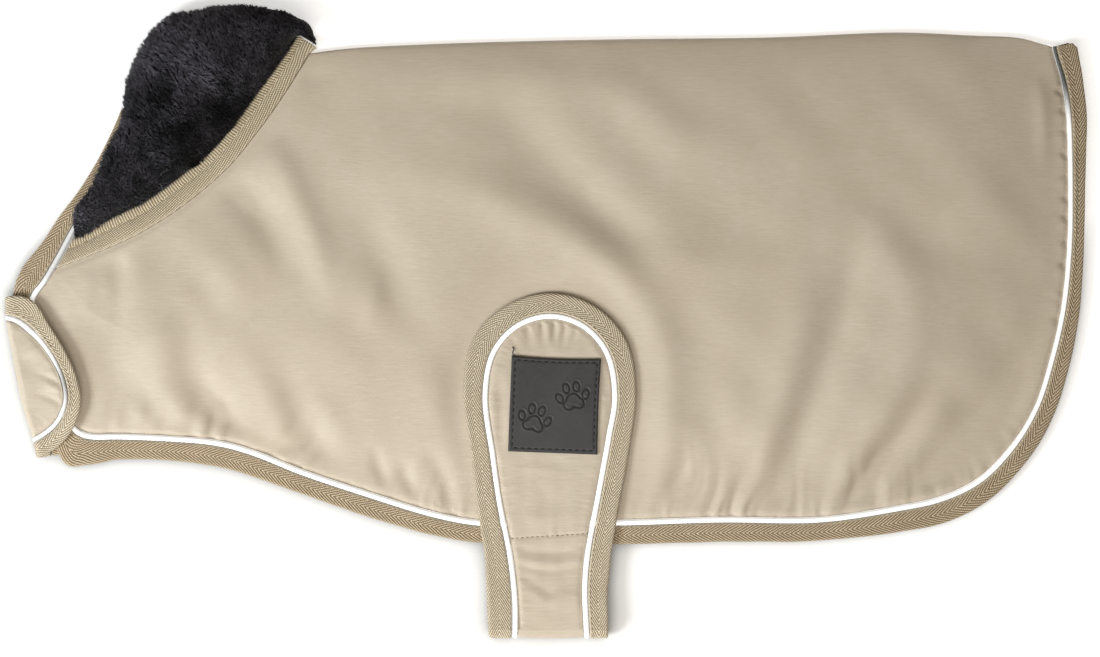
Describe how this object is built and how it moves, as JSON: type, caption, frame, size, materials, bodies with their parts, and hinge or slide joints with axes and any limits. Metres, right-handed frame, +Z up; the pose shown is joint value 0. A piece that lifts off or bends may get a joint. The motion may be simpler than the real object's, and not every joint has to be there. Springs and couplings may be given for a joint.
{
  "type": "dog raincoat",
  "caption": "Dog raincoat laid flat on its side: satin shell, plush collar, bound and piped edges, a chest flap and a belly strap folded over it with a square patch.",
  "frame": {"origin": "middle of the laid-out coat's bounding box, on the surface that it lies on", "axes": "+X from the head end towards the tail, +Y towards the fold along the back, +Z up from the surface; the dog's left side is uppermost"},
  "size_m": [0.5946, 0.3483, 0.0263],
  "materials": {
    "shell": "satin showerproof cloth, stone coloured",
    "binding": "matt cotton herringbone tape",
    "piping": "white reflective piping",
    "plush": "black plush pile",
    "patch": "smooth dark grey leather, stitched and debossed"
  },
  "bodies": {
    "root": {"left_side": "shell", "right_side": "shell", "chest_flap": "shell", "belly_strap": "shell", "edge_binding_left": "binding", "hem_binding_right": "binding", "chest_binding_right": "binding", "neck_tape_left": "binding", "neck_tape_right": "binding", "chest_flap_binding": "binding", "belly_strap_binding": "binding", "edge_piping_left": "piping", "hem_piping_right": "piping", "chest_piping_right": "piping", "chest_flap_piping": "piping", "belly_strap_piping": "piping", "collar_left": "plush", "collar_right": "plush", "strap_patch": "patch"}
  },
  "joints": []
}
